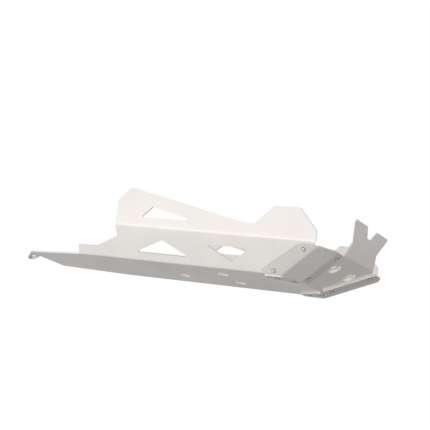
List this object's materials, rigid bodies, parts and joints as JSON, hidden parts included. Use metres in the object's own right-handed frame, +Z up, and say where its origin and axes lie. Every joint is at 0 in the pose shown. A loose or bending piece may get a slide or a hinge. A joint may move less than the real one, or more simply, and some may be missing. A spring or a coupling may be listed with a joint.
{
  "type": "motorcycle skid plate",
  "caption": "Folded aluminium skid plate for an adventure motorcycle, with riveted corner plates, winged sides, a horned front shield and dimpled mounting holes.",
  "frame": {"origin": "the middle between the two mounting holes of the floor (bottom_pair), on the faces inside their dimples that the bolt heads bear against, 3.5 mm above the floor's underside", "axes": "+X towards the motorcycle's front wheel, +Y to the motorcycle's left, +Z up; the plate lies as it is bolted on, floor level"},
  "size_m": [0.7552, 0.275, 0.1375],
  "materials": {
    "sheet": "satin",
    "corner_plates": "satin",
    "rivets": "satin",
    "pins": "brushed"
  },
  "bodies": {
    "root": {"main_plate": "sheet", "corner_sheet_right": "corner_plates", "corner_sheet_left": "corner_plates", "side_rivets_right": "rivets", "side_rivets_left": "rivets", "bottom_rivets_right": "rivets", "bottom_rivets_left": "rivets", "nose_rivets_right": "rivets", "nose_rivets_left": "rivets", "side_pins_right": "pins", "side_pins_left": "pins", "bottom_pins_right": "pins", "bottom_pins_left": "pins", "nose_pins_right": "pins", "nose_pins_left": "pins"}
  },
  "joints": []
}
